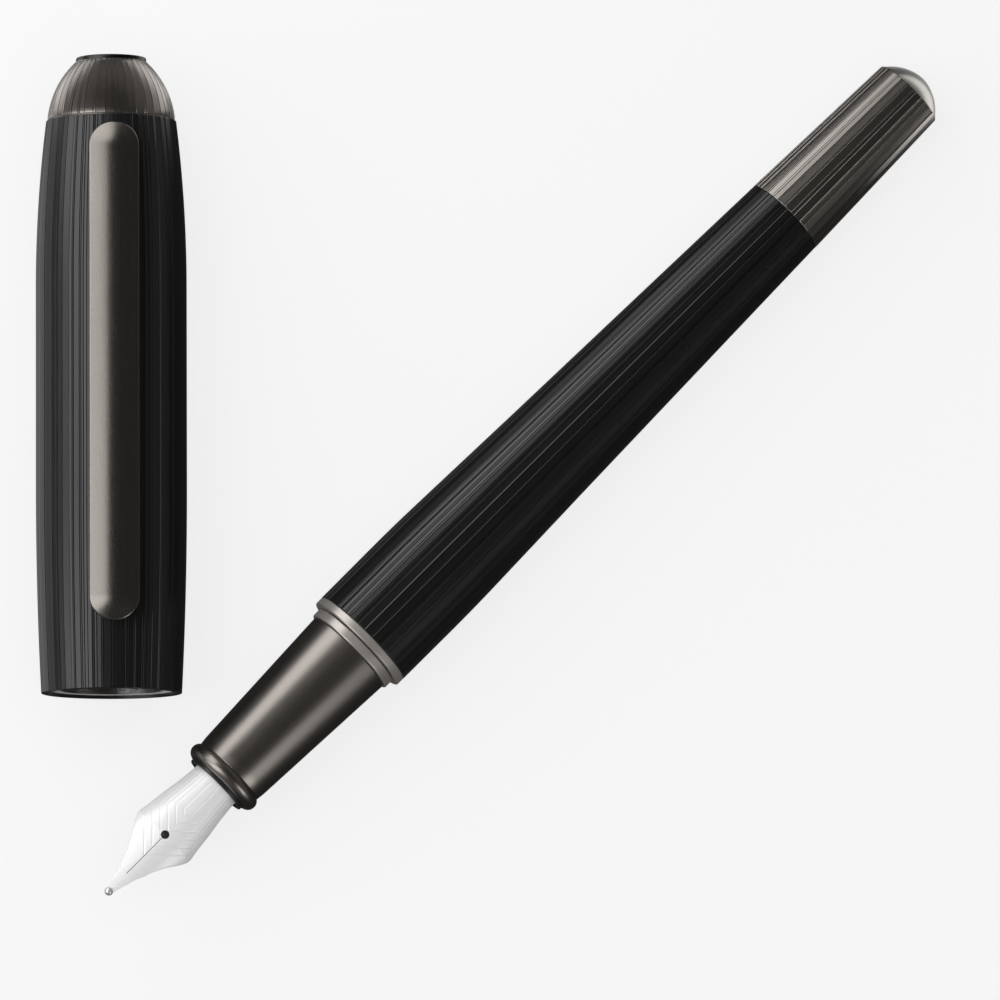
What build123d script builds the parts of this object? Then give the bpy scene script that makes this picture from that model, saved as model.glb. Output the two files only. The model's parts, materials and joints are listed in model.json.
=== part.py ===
from build123d import *
from math import atan2, cos, radians, sin
import os

# A fountain pen with its cap off: the pen and the cap lie side by side on a flat surface.
#
# Row frame, in millimetres: +Z is up, the surface is Z = 0, and the origin is at the middle of the
# ground under both pieces. The cap lies along +Y, from its mouth to its finial, with its clip on top.
# The pen lies pen_angle degrees from +X, from its nib to its tail. It rests on its barrel's widest
# ring and on its tail joint, so its nib end stands a little higher than its tail.
#
# Each piece is drawn in one of two planes. In pen_plane, x runs along the pen's axis from the front
# face of the trim ring towards the tail, and y is up. In cap_plane, x runs along the cap's axis from
# the mouth towards the finial, and y is up.

os.makedirs("parts", exist_ok=True)

# ---------------------------------------------------------------- fits and clearances
turn_clearance = 0.05  # radial, between pieces that turn or slide on each other
seal_clearance = 0.03  # radial, piston seal in its tube and socket on its nipple
cap_clearance = 0.08  # radial, mouth bushing over the step ring
face_gap = 0.05  # axial, between pieces of different bodies that stop on each other
clip_gap = 0.15  # around the clip's foot, so that it can flex

# ---------------------------------------------------------------- where the two pieces lie
pen_angle = 45.0
trim_from_origin = (-12.95, -16.25)
mouth_from_trim = (-23.74, -4.92)

# ---------------------------------------------------------------- barrel
wall = 0.6
trim_width = 0.85
trim_shelf = 0.63  # how far the trim ring stands out from the step ring
trim_chamfer = 0.12
barrel_length = 58.6
barrel_over_trim = 0.05
barrel_swell = 0.03  # from the barrel's mouth to its widest ring
barrel_straight = 9.65  # length that keeps its full radius, from the mouth
barrel_taper_length = 15.7  # the first, slightly steeper taper
barrel_taper_drop = 0.48  # how much the radius falls over it
barrel_end_drop = 0.90  # from there to the barrel's back end
insert_length = 10.15
tail_length = 17.35
tail_drop = 0.53  # how much the tail sleeve's radius falls over its length
tail_dome_inset = 0.12  # how far the dome's edge stays inside the sleeve's end
tail_dome_height = 2.06
tail_spigot_length = 4.2
coupler_length = 4.2
coupler_wall = 0.25

# ---------------------------------------------------------------- grip section
step_shelf = 0.27  # how far the step ring stands out from the section
step_ring_width = 0.93
step_ring_gap = 0.10  # from the trim ring's front face
section_back_radius = 4.65  # most other radii follow from this one
section_front_radius = 3.91
section_lip_radius = 3.81
section_length = 16.5
section_lip_length = 0.8
bead_radius = 4.17
bead_width = 1.5
thread_shoulder = 0.45  # how far the section's back end stands out from its thread
thread_length = 8.0  # how far the section's thread reaches into the barrel
thread_root_length = 4.9  # how far its sleeve reaches into the section
thread_wall = 0.6
thread_root_wall = 0.3

# ---------------------------------------------------------------- nib, feed and ink nipple
collar_radius = 3.10
collar_flange_radius = 3.32
collar_flange_width = 0.35
collar_length = 11.45
collar_bore = 2.75
nib_thickness = 0.25
nib_base_radius = 2.70
nib_root_length = 7.0  # hidden in the collar
nib_length = 14.6  # from the collar's front face to the point
nib_shoulder_from_collar = 7.05
nib_shoulder_width = 6.86
nib_shoulder_arch = 4.1  # radius of the sheet across the shoulders
nib_shoulder_height = 2.35  # top of the sheet above the pen's axis
nib_tip_width = 0.7
nib_tip_height = 0.75
nib_slit_width = 0.12
breather_radius = 0.42
nib_root_half_angle = 78  # half of the sheet's angle in the collar, in degrees
nib_shoulder_half_angle = 62
nib_tip_half_angle = 30
# The outline, as shares of the length from tip to shoulder and of the shoulders' width.
nib_edge = ((0.24, 0.25), (0.50, 0.44), (0.74, 0.67), (0.93, 0.95))
nib_heel = (0.2, 0.95)  # the same behind the shoulder, as shares of the way to the collar
point_radius = 0.42
feed_radius = 2.45
feed_length = 12.05  # from the collar's front face
feed_tip_radius = 0.7
feed_waist_radius = 1.85
fin_count = 9
fin_gap = 0.22
fin_pitch = 0.62
nipple_radius = 1.30
nipple_bore = 0.6
nipple_flange_width = 1.0
nipple_length = 9.5  # from its flange's front face

# ---------------------------------------------------------------- converter
converter_start = -4.0
socket_length = 7.0
socket_spigot_length = 2.0
tube_wall = 0.40
tube_length = 28.0
sleeve_wall = 0.25
sleeve_lap = 4.0  # how far the sleeve covers the tube
sleeve_cavity_length = 1.6
sleeve_lip_length = 1.4
knob_length = 19.8
knob_from_sleeve = 0.20
knob_over_bore = 0.10  # how far the knob's grip stands out from the tube's bore
knob_flange_drop = 0.10  # how far its flange stays inside that bore
knob_neck_drop = 0.60  # how far its neck stays inside the flange
knob_flange_width = 1.0
knob_end_wall = 0.8
knob_groove_count = 16
knob_groove_radius = 0.22
knob_groove_share = 0.8  # of the grip's length, from its back end
rod_radius = 0.95
rod_length = 26.2
seal_length = 3.0
seal_pocket = 1.5
seal_from_spigot = 0.30

# ---------------------------------------------------------------- cap
cap_length = 55.6  # the black shell, mouth to dome
cap_mouth_wall = 0.66
cap_swell = 0.51  # from the mouth to the cap's widest part
cap_end_drop = 1.0  # from there to the end under the dome
cap_swell_start = 20.0  # where the front curve meets the straight
cap_swell_end = 39.4  # where the back curve leaves it
bushing_wall = 1.15
cap_neck_length = 2.6
cap_neck_radius = 4.0
bushing_length = 7.0
clutch_from_mouth = 0.4
clutch_width = 0.7
clutch_depth = 0.35
clutch_opening = 40.0  # degrees left open, so that the ring can spring
inner_cap_wall = 0.82
inner_cap_clearance = 0.13  # radial, around the section's back end
inner_cap_flange = 1.5
inner_cap_end = 50.0
inner_cap_end_wall = 2.0
dome_inset = 0.10  # how far the dome's edge stays inside the shell's end
dome_height = 5.8
dome_top_radius = 3.44
dome_bulge_at = 0.56  # share of its height where its arc is pinned
dome_bulge = 0.685  # share of its radius drop still left there
disc_radius = 3.40
disc_thickness = 0.8
disc_proud = 0.4
screw_radius = 1.0
screw_head_radius = 1.9
screw_head_length = 1.4
screw_reach = 10.0

# ---------------------------------------------------------------- clip
clip_width = 4.85
clip_thickness = 0.9
clip_tip_from_mouth = 6.4
clip_back_from_mouth = 54.6
clip_rise = 0.6  # underside above the shell
clip_bump_from_tip = 2.6
clip_bump_length = 3.6
clip_touch_gap = 0.03
foot_width = 3.0
foot_length = 1.2
foot_from_mouth = 50.9
foot_bottom = 4.6

# ---------------------------------------------------------------- radii that follow from those
step_ring_radius = section_back_radius + step_shelf
trim_radius = step_ring_radius + trim_shelf
barrel_mouth_radius = trim_radius + barrel_over_trim
barrel_radius = barrel_mouth_radius + barrel_swell
barrel_taper_radius = barrel_radius - barrel_taper_drop
barrel_end_radius = barrel_taper_radius - barrel_end_drop
tail_end_radius = barrel_end_radius - tail_drop
tail_dome_radius = tail_end_radius - tail_dome_inset
thread_radius = section_back_radius - thread_shoulder
thread_bore = thread_radius - thread_wall
section_bore = thread_radius - thread_root_wall
converter_radius = thread_bore - turn_clearance
tube_radius = converter_radius - sleeve_wall
tube_bore = tube_radius - tube_wall
knob_radius = tube_bore + knob_over_bore
knob_flange_radius = tube_bore - knob_flange_drop
knob_neck_radius = knob_flange_radius - knob_neck_drop
bushing_bore = step_ring_radius + cap_clearance
cap_bore = bushing_bore + bushing_wall
cap_mouth_radius = cap_bore + cap_mouth_wall
cap_radius = cap_mouth_radius + cap_swell
cap_end_radius = cap_radius - cap_end_drop
dome_radius = cap_end_radius - dome_inset
inner_cap_bore = section_back_radius + inner_cap_clearance
inner_cap_radius = inner_cap_bore + inner_cap_wall

# ---------------------------------------------------------------- planes and axes
# The pen touches the ground at two rings, so its lean and its height follow from their radii.
front_contact = trim_width + barrel_straight
back_contact = trim_width + barrel_length
pen_lean = atan2(barrel_radius - barrel_end_radius, back_contact - front_contact)
pen_height = front_contact * sin(pen_lean) + barrel_radius * cos(pen_lean)
along_x, along_y = cos(radians(pen_angle)), sin(radians(pen_angle))
pen_direction = Vector(along_x * cos(pen_lean), along_y * cos(pen_lean), -sin(pen_lean))
pen_up = Vector(along_x * sin(pen_lean), along_y * sin(pen_lean), cos(pen_lean))
pen_side = Vector(along_y, -along_x, 0)
pen_origin = Vector(trim_from_origin[0], trim_from_origin[1], pen_height)
pen_plane = Plane(origin=pen_origin, x_dir=pen_direction, z_dir=pen_side)
pen_axis = Axis(pen_origin, pen_direction)
pen_top = Plane(origin=pen_origin, x_dir=pen_direction, z_dir=pen_up)

cap_origin = Vector(
    trim_from_origin[0] + mouth_from_trim[0],
    trim_from_origin[1] + mouth_from_trim[1],
    cap_radius,
)
cap_plane = Plane(origin=cap_origin, x_dir=(0, 1, 0), z_dir=(1, 0, 0))
cap_axis = Axis(cap_origin, (0, 1, 0))
cap_top = Plane(origin=cap_origin, x_dir=(0, 1, 0), z_dir=(0, 0, 1))

# ---------------------------------------------------------------- stations along the pen
barrel_end = trim_width + barrel_length
tail_end = barrel_end + tail_length
insert_end = trim_width + insert_length
step_ring_back = -step_ring_gap
step_ring_front = step_ring_back - step_ring_width
section_back = step_ring_front - face_gap
section_front = section_back - section_length
bead_front = section_front - bead_width
collar_front = bead_front - collar_flange_width
collar_back = collar_front + collar_length
nib_tip = collar_front - nib_length
nib_shoulder = collar_front - nib_shoulder_from_collar
insert_bore = thread_radius + turn_clearance
barrel_bore_front = barrel_mouth_radius - wall
barrel_bore_back = barrel_end_radius - wall
tail_bore_back = tail_end_radius - wall


def on_line(x, start, end):
    """The height at x of the straight line between two points."""
    return start[1] + (end[1] - start[1]) * (x - start[0]) / (end[0] - start[0])


def barrel_bore(x):
    """The radius of the tapered bore behind the threaded insert."""
    return on_line(x, (insert_end, barrel_bore_front), (barrel_end, barrel_bore_back))


def tail_bore(x):
    """The radius of the tapered bore of the tail sleeve."""
    return on_line(x, (barrel_end, barrel_bore_back), (tail_end, tail_bore_back))


# ================================================================ barrel body
with BuildPart() as barrel_shell:
    with BuildSketch(pen_plane):
        with BuildLine():
            Polyline(
                (trim_width, barrel_bore_front),
                (trim_width, barrel_mouth_radius),
                (trim_width + barrel_straight, barrel_radius),
                (trim_width + barrel_straight + barrel_taper_length, barrel_taper_radius),
                (barrel_end, barrel_end_radius),
                (barrel_end, barrel_bore_back),
                (insert_end, barrel_bore_front),
                close=True,
            )
        make_face()
    revolve(axis=pen_axis)
barrel_shell.part.label = "barrel_shell"
export_step(barrel_shell.part, "parts/barrel_shell.step")

with BuildPart() as trim_ring:
    with BuildSketch(pen_plane):
        with BuildLine():
            Polyline(
                (0, insert_bore),
                (0, trim_radius - trim_chamfer),
                (trim_chamfer, trim_radius),
                (trim_width - trim_chamfer, trim_radius),
                (trim_width, trim_radius - trim_chamfer),
                (trim_width, insert_bore),
                close=True,
            )
        make_face()
    revolve(axis=pen_axis)
trim_ring.part.label = "trim_ring"
export_step(trim_ring.part, "parts/trim_ring.step")

with BuildPart() as barrel_insert:
    with BuildSketch(pen_plane):
        with BuildLine():
            Polyline(
                (trim_width, insert_bore),
                (trim_width, barrel_bore_front),
                (insert_end, barrel_bore_front),
                (insert_end, insert_bore),
                close=True,
            )
        make_face()
    revolve(axis=pen_axis)
barrel_insert.part.label = "barrel_insert"
export_step(barrel_insert.part, "parts/barrel_insert.step")

# A short tube inside the joint between the barrel and the tail sleeve.
coupler_front = barrel_end - coupler_length / 2
coupler_back = barrel_end + coupler_length / 2
with BuildPart() as tail_coupler:
    with BuildSketch(pen_plane):
        with BuildLine():
            Polyline(
                (coupler_front, barrel_bore(coupler_front) - coupler_wall),
                (coupler_front, barrel_bore(coupler_front)),
                (barrel_end, barrel_bore_back),
                (coupler_back, tail_bore(coupler_back)),
                (coupler_back, tail_bore(coupler_back) - coupler_wall),
                close=True,
            )
        make_face()
    revolve(axis=pen_axis)
tail_coupler.part.label = "tail_coupler"
export_step(tail_coupler.part, "parts/tail_coupler.step")

with BuildPart() as tail_sleeve:
    with BuildSketch(pen_plane):
        with BuildLine():
            Polyline(
                (barrel_end, barrel_bore_back),
                (barrel_end, barrel_end_radius),
                (tail_end, tail_end_radius),
                (tail_end, tail_bore_back),
                close=True,
            )
        make_face()
    revolve(axis=pen_axis)
tail_sleeve.part.label = "tail_sleeve"
export_step(tail_sleeve.part, "parts/tail_sleeve.step")

# The dome is a cap of a sphere, and its spigot fills the end of the sleeve's bore.
tail_dome_sphere = (tail_dome_radius**2 + tail_dome_height**2) / (2 * tail_dome_height)
spigot_front = tail_end - tail_spigot_length
with BuildPart() as tail_dome:
    with BuildSketch(pen_plane):
        with BuildLine():
            RadiusArc(
                (tail_end, tail_dome_radius),
                (tail_end + tail_dome_height, 0),
                tail_dome_sphere,
            )
            Polyline(
                (tail_end + tail_dome_height, 0),
                (spigot_front, 0),
                (spigot_front, tail_bore(spigot_front)),
                (tail_end, tail_bore_back),
                (tail_end, tail_dome_radius),
            )
        make_face()
    revolve(axis=pen_axis)
tail_dome.part.label = "tail_dome"
export_step(tail_dome.part, "parts/tail_dome.step")

# ================================================================ step ring body
with BuildPart() as step_ring:
    with BuildSketch(pen_plane):
        with BuildLine():
            Polyline(
                (step_ring_front, insert_bore),
                (step_ring_front, step_ring_radius - trim_chamfer),
                (step_ring_front + trim_chamfer, step_ring_radius),
                (step_ring_back, step_ring_radius),
                (step_ring_back, insert_bore),
                close=True,
            )
        make_face()
    revolve(axis=pen_axis)
step_ring.part.label = "step_ring"
export_step(step_ring.part, "parts/step_ring.step")

# ================================================================ section body
thread_root = section_back - thread_root_length
with BuildPart() as section_shell:
    with BuildSketch(pen_plane):
        with BuildLine():
            Polyline(
                (section_front, collar_radius),
                (section_front, section_lip_radius),
                (section_front + section_lip_length, section_front_radius),
                (section_back, section_back_radius),
                (section_back, section_bore),
                (thread_root, section_bore),
                (thread_root, collar_radius),
                close=True,
            )
        make_face()
    revolve(axis=pen_axis)
section_shell.part.label = "section_shell"
export_step(section_shell.part, "parts/section_shell.step")

# The threaded sleeve is plain: its outside is the thread's full radius.
with BuildPart() as section_thread:
    with BuildSketch(pen_plane):
        with BuildLine():
            Polyline(
                (thread_root, thread_bore),
                (thread_root, section_bore),
                (section_back, section_bore),
                (section_back, thread_radius),
                (thread_length, thread_radius),
                (thread_length, thread_bore),
                close=True,
            )
        make_face()
    revolve(axis=pen_axis)
section_thread.part.label = "section_thread"
export_step(section_thread.part, "parts/section_thread.step")

with BuildPart() as bead_ring:
    with BuildSketch(pen_plane):
        with BuildLine():
            ThreePointArc(
                (bead_front, collar_flange_radius),
                (bead_front + bead_width / 2, bead_radius),
                (section_front, section_lip_radius),
            )
            Polyline(
                (section_front, section_lip_radius),
                (section_front, collar_radius),
                (bead_front, collar_radius),
                (bead_front, collar_flange_radius),
            )
        make_face()
    revolve(axis=pen_axis)
bead_ring.part.label = "bead_ring"
export_step(bead_ring.part, "parts/bead_ring.step")

with BuildPart() as nib_collar:
    with BuildSketch(pen_plane):
        with BuildLine():
            Polyline(
                (collar_front, collar_bore),
                (collar_front, collar_flange_radius),
                (bead_front, collar_flange_radius),
                (bead_front, collar_radius),
                (collar_back, collar_radius),
                (collar_back, collar_bore),
                close=True,
            )
        make_face()
    revolve(axis=pen_axis)
nib_collar.part.label = "nib_collar"
export_step(nib_collar.part, "parts/nib_collar.step")

with BuildPart() as ink_nipple:
    with BuildSketch(pen_plane):
        with BuildLine():
            Polyline(
                (collar_back, nipple_bore),
                (collar_back, collar_radius),
                (collar_back + nipple_flange_width, collar_radius),
                (collar_back + nipple_flange_width, nipple_radius),
                (collar_back + nipple_length, nipple_radius),
                (collar_back + nipple_length, nipple_bore),
                close=True,
            )
        make_face()
    revolve(axis=pen_axis)
ink_nipple.part.label = "ink_nipple"
export_step(ink_nipple.part, "parts/ink_nipple.step")

# The nib is one bent sheet: straight in the collar, then opening to the shoulders and falling
# to the point. Each row is a station, its sheet radius, its height and half of its sheet's angle.
nib_stations = (
    (collar_front + nib_root_length, nib_base_radius, nib_base_radius, nib_root_half_angle),
    (collar_front, nib_base_radius, nib_base_radius, nib_root_half_angle),
    (nib_shoulder, nib_shoulder_arch, nib_shoulder_height, nib_shoulder_half_angle),
    (nib_tip, nib_shoulder_arch, nib_tip_height, nib_tip_half_angle),
)
nib_straight = nib_length - nib_shoulder_from_collar
nib_outline = (
    (nib_tip, nib_tip_width / 2),
    *((nib_tip + share * nib_straight, width * nib_shoulder_width / 2) for share, width in nib_edge),
    (nib_shoulder, nib_shoulder_width / 2),
    (nib_shoulder + nib_heel[0] * nib_shoulder_from_collar, nib_heel[1] * nib_shoulder_width / 2),
    (collar_front, nib_base_radius),
    (collar_front + nib_root_length, nib_base_radius),
)
with BuildPart() as nib:
    for station, radius, height, half_angle in nib_stations:
        middle = pen_plane.from_local_coords((station, 0, 0))
        across = Plane(middle, x_dir=pen_side, z_dir=pen_direction)
        inner = radius - nib_thickness
        drop = height - radius
        side, rise = sin(radians(half_angle)), cos(radians(half_angle))
        with BuildSketch(across):
            with BuildLine():
                ThreePointArc(
                    (-radius * side, -(radius * rise + drop)),
                    (0, -(radius + drop)),
                    (radius * side, -(radius * rise + drop)),
                )
                Line(
                    (radius * side, -(radius * rise + drop)),
                    (inner * side, -(inner * rise + drop)),
                )
                ThreePointArc(
                    (inner * side, -(inner * rise + drop)),
                    (0, -(inner + drop)),
                    (-inner * side, -(inner * rise + drop)),
                )
                Line(
                    (-inner * side, -(inner * rise + drop)),
                    (-radius * side, -(radius * rise + drop)),
                )
            make_face()
    loft(ruled=True)
    with BuildSketch(pen_top):
        with BuildLine():
            Polyline(*nib_outline)
            Polyline(*[(x, -y) for x, y in nib_outline])
            Line(nib_outline[0], (nib_outline[0][0], -nib_outline[0][1]))
            Line(nib_outline[-1], (nib_outline[-1][0], -nib_outline[-1][1]))
        make_face()
    extrude(amount=barrel_radius, both=True, mode=Mode.INTERSECT)
    with BuildSketch(pen_top):
        with Locations((nib_shoulder, 0)):
            Circle(breather_radius)
        with Locations(((nib_shoulder + nib_tip) / 2, 0)):
            Rectangle(nib_straight + nib_slit_width, nib_slit_width)
    extrude(amount=barrel_radius, both=True, mode=Mode.SUBTRACT)
nib.part.label = "nib"
export_step(nib.part, "parts/nib.step")

point_height = nib_tip_height - nib_thickness / 2
point_box = 4 * point_radius
point_axis = Axis(pen_plane.from_local_coords((nib_tip, point_height, 0)), pen_direction)
with BuildPart() as nib_point:
    with BuildSketch(pen_plane):
        with Locations((nib_tip, point_height)):
            Circle(point_radius)
            Rectangle(point_box, point_box, align=(Align.CENTER, Align.MAX), mode=Mode.SUBTRACT)
    revolve(axis=point_axis)
nib_point.part.label = "nib_point"
export_step(nib_point.part, "parts/nib_point.step")

# The feed fills the nib's underside and tapers to its point. Fins are cut into its lower half.
feed_back = collar_back - nipple_flange_width
feed_tip = collar_front - feed_length
feed_stations = (
    (feed_back, feed_radius, 0),
    (collar_front, feed_radius, 0),
    (nib_shoulder, feed_waist_radius, nib_shoulder_height - nib_thickness - feed_waist_radius - face_gap),
    (feed_tip, feed_tip_radius, nib_tip_height - feed_tip_radius),
)
with BuildPart() as feed:
    for station, radius, height in feed_stations:
        middle = pen_plane.from_local_coords((station, height, 0))
        across = Plane(middle, x_dir=pen_side, z_dir=pen_direction)
        with BuildSketch(across):
            Circle(radius)
    loft(ruled=True)
    with BuildSketch(pen_plane):
        for number in range(fin_count):
            with Locations((collar_front - fin_pitch * (number + 1), -fin_gap)):
                Rectangle(fin_gap, 2 * feed_radius, align=(Align.CENTER, Align.MAX))
    extrude(amount=2 * feed_radius, both=True, mode=Mode.SUBTRACT)
feed.part.label = "feed"
export_step(feed.part, "parts/feed.step")

# ================================================================ converter body
socket_back = converter_start + socket_length
tube_back = socket_back + tube_length
sleeve_front = tube_back - sleeve_lap
cavity_back = tube_back + sleeve_cavity_length
sleeve_back = cavity_back + sleeve_lip_length
socket_bore = nipple_radius + seal_clearance
with BuildPart() as converter_socket:
    with BuildSketch(pen_plane):
        with BuildLine():
            Polyline(
                (converter_start, socket_bore),
                (converter_start, converter_radius),
                (socket_back, converter_radius),
                (socket_back, tube_bore),
                (socket_back + socket_spigot_length, tube_bore),
                (socket_back + socket_spigot_length, socket_bore),
                close=True,
            )
        make_face()
    revolve(axis=pen_axis)
converter_socket.part.label = "converter_socket"
export_step(converter_socket.part, "parts/converter_socket.step")

with BuildPart() as converter_tube:
    with BuildSketch(pen_plane):
        with BuildLine():
            Polyline(
                (socket_back, tube_bore),
                (socket_back, tube_radius),
                (tube_back, tube_radius),
                (tube_back, tube_bore),
                close=True,
            )
        make_face()
    revolve(axis=pen_axis)
converter_tube.part.label = "converter_tube"
export_step(converter_tube.part, "parts/converter_tube.step")

# The sleeve holds the knob's flange behind the tube, so the knob turns but doesn't come off.
cavity_radius = knob_flange_radius + turn_clearance
with BuildPart() as converter_sleeve:
    with BuildSketch(pen_plane):
        with BuildLine():
            Polyline(
                (sleeve_front, tube_radius),
                (sleeve_front, converter_radius),
                (sleeve_back, converter_radius),
                (sleeve_back, knob_neck_radius + turn_clearance),
                (cavity_back, knob_neck_radius + turn_clearance),
                (cavity_back, cavity_radius),
                (tube_back, cavity_radius),
                (tube_back, tube_radius),
                close=True,
            )
        make_face()
    revolve(axis=pen_axis)
converter_sleeve.part.label = "converter_sleeve"
export_step(converter_sleeve.part, "parts/converter_sleeve.step")

# ================================================================ knob body
flange_front = tube_back + (sleeve_cavity_length - knob_flange_width) / 2
flange_back = flange_front + knob_flange_width
grip_front = sleeve_back + knob_from_sleeve
knob_back = grip_front + knob_length
rod_bore = rod_radius + turn_clearance
with BuildPart() as converter_knob:
    with BuildSketch(pen_plane):
        with BuildLine():
            Polyline(
                (flange_front, rod_bore),
                (flange_front, knob_flange_radius),
                (flange_back, knob_flange_radius),
                (flange_back, knob_neck_radius),
                (grip_front, knob_neck_radius),
                (grip_front, knob_radius),
                (knob_back, knob_radius),
                (knob_back, 0),
                (knob_back - knob_end_wall, 0),
                (knob_back - knob_end_wall, rod_bore),
                close=True,
            )
        make_face()
    revolve(axis=pen_axis)
    knob_end = Plane(pen_plane.from_local_coords((knob_back, 0, 0)), x_dir=pen_side, z_dir=pen_direction)
    with BuildSketch(knob_end):
        with PolarLocations(knob_radius, knob_groove_count):
            Circle(knob_groove_radius)
    extrude(amount=-knob_groove_share * knob_length, mode=Mode.SUBTRACT)
converter_knob.part.label = "converter_knob"
export_step(converter_knob.part, "parts/converter_knob.step")

# ================================================================ piston body
seal_front = socket_back + socket_spigot_length + seal_from_spigot
seal_back = seal_front + seal_length
rod_front = seal_back - seal_pocket
with BuildPart() as piston_seal:
    with BuildSketch(pen_plane):
        with BuildLine():
            Polyline(
                (seal_front, 0),
                (seal_front, tube_bore - seal_clearance),
                (seal_back, tube_bore - seal_clearance),
                (seal_back, rod_radius),
                (rod_front, rod_radius),
                (rod_front, 0),
                close=True,
            )
        make_face()
    revolve(axis=pen_axis)
piston_seal.part.label = "piston_seal"
export_step(piston_seal.part, "parts/piston_seal.step")

with BuildPart() as piston_rod:
    with BuildSketch(pen_plane):
        with BuildLine():
            Polyline(
                (rod_front, 0),
                (rod_front, rod_radius),
                (rod_front + rod_length, rod_radius),
                (rod_front + rod_length, 0),
                close=True,
            )
        make_face()
    revolve(axis=pen_axis)
piston_rod.part.label = "piston_rod"
export_step(piston_rod.part, "parts/piston_rod.step")

# ================================================================ cap body
cap_neck = cap_length - cap_neck_length
mount_start = inner_cap_end
mount_end = cap_neck
slot_width = foot_width + 2 * clip_gap
slot_length = foot_length + 2 * clip_gap
slot_middle = foot_from_mouth + foot_length / 2

# The front and back curves are shallow arcs that meet the straight part level, so each one
# drops a quarter as much at half of its length.
front_middle = (cap_swell_start / 2, cap_radius - (cap_radius - cap_mouth_radius) / 4)
back_middle = ((cap_swell_end + cap_length) / 2, cap_radius - (cap_radius - cap_end_radius) / 4)
with BuildPart() as cap_shell:
    with BuildSketch(cap_plane):
        with BuildLine():
            ThreePointArc((0, cap_mouth_radius), front_middle, (cap_swell_start, cap_radius))
            Line((cap_swell_start, cap_radius), (cap_swell_end, cap_radius))
            ThreePointArc((cap_swell_end, cap_radius), back_middle, (cap_length, cap_end_radius))
            Polyline(
                (cap_length, cap_end_radius),
                (cap_length, cap_neck_radius),
                (cap_neck, cap_neck_radius),
                (cap_neck, cap_bore),
                (0, cap_bore),
                (0, cap_mouth_radius),
            )
        make_face()
    revolve(axis=cap_axis)
    with BuildSketch(cap_top):
        with Locations((slot_middle, 0)):
            Rectangle(slot_length, slot_width)
    extrude(amount=2 * cap_radius, mode=Mode.SUBTRACT)
cap_shell.part.label = "cap_shell"
export_step(cap_shell.part, "parts/cap_shell.step")

clutch_outer = bushing_bore + clutch_depth
clutch_end = clutch_from_mouth + clutch_width
with BuildPart() as mouth_bushing:
    with BuildSketch(cap_plane):
        with BuildLine():
            Polyline(
                (0, bushing_bore),
                (0, cap_bore),
                (bushing_length, cap_bore),
                (bushing_length, bushing_bore),
                (clutch_end, bushing_bore),
                (clutch_end, clutch_outer),
                (clutch_from_mouth, clutch_outer),
                (clutch_from_mouth, bushing_bore),
                close=True,
            )
        make_face()
    revolve(axis=cap_axis)
mouth_bushing.part.label = "mouth_bushing"
export_step(mouth_bushing.part, "parts/mouth_bushing.step")

# The clutch ring is a split spring in the bushing's groove. It stands a little inside the bore.
with BuildPart() as clutch_ring:
    with BuildSketch(cap_plane):
        with BuildLine():
            Polyline(
                (clutch_from_mouth, step_ring_radius + cap_clearance / 2),
                (clutch_from_mouth, clutch_outer),
                (clutch_end, clutch_outer),
                (clutch_end, step_ring_radius + cap_clearance / 2),
                close=True,
            )
        make_face()
    revolve(axis=cap_axis, revolution_arc=360 - clutch_opening)
clutch_ring.part.label = "clutch_ring"
export_step(clutch_ring.part, "parts/clutch_ring.step")

inner_cap_wall_start = inner_cap_end - inner_cap_end_wall
with BuildPart() as inner_cap:
    with BuildSketch(cap_plane):
        with BuildLine():
            Polyline(
                (bushing_length, inner_cap_bore),
                (bushing_length, cap_bore),
                (bushing_length + inner_cap_flange, cap_bore),
                (bushing_length + inner_cap_flange, inner_cap_radius),
                (inner_cap_end, inner_cap_radius),
                (inner_cap_end, screw_radius),
                (inner_cap_wall_start, screw_radius),
                (inner_cap_wall_start, inner_cap_bore),
                close=True,
            )
        make_face()
    revolve(axis=cap_axis)
inner_cap.part.label = "inner_cap"
export_step(inner_cap.part, "parts/inner_cap.step")

with BuildPart() as clip_mount:
    with BuildSketch(cap_plane):
        with BuildLine():
            Polyline(
                (mount_start, screw_radius),
                (mount_start, cap_bore),
                (mount_end, cap_bore),
                (mount_end, screw_radius),
                close=True,
            )
        make_face()
    revolve(axis=cap_axis)
    with BuildSketch(cap_top.offset(foot_bottom - clip_gap)):
        with Locations((slot_middle, 0)):
            Rectangle(slot_length, slot_width)
    extrude(amount=2 * cap_radius, mode=Mode.SUBTRACT)
clip_mount.part.label = "clip_mount"
export_step(clip_mount.part, "parts/clip_mount.step")

# The dome screws into the shell's neck. The clip's screw ends in it, and its top is recessed.
dome_top = cap_length + dome_height
recess = dome_top - (disc_thickness - disc_proud)
screw_end = inner_cap_wall_start + screw_reach
dome_middle = (
    cap_length + dome_bulge_at * dome_height,
    dome_top_radius + dome_bulge * (dome_radius - dome_top_radius),
)
with BuildPart() as cap_dome:
    with BuildSketch(cap_plane):
        with BuildLine():
            ThreePointArc((cap_length, dome_radius), dome_middle, (dome_top, dome_top_radius))
            Polyline(
                (dome_top, dome_top_radius),
                (dome_top, disc_radius),
                (recess, disc_radius),
                (recess, 0),
                (screw_end, 0),
                (screw_end, screw_radius),
                (cap_neck, screw_radius),
                (cap_neck, cap_neck_radius),
                (cap_length, cap_neck_radius),
                (cap_length, dome_radius),
            )
        make_face()
    revolve(axis=cap_axis)
cap_dome.part.label = "cap_dome"
export_step(cap_dome.part, "parts/cap_dome.step")

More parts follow.
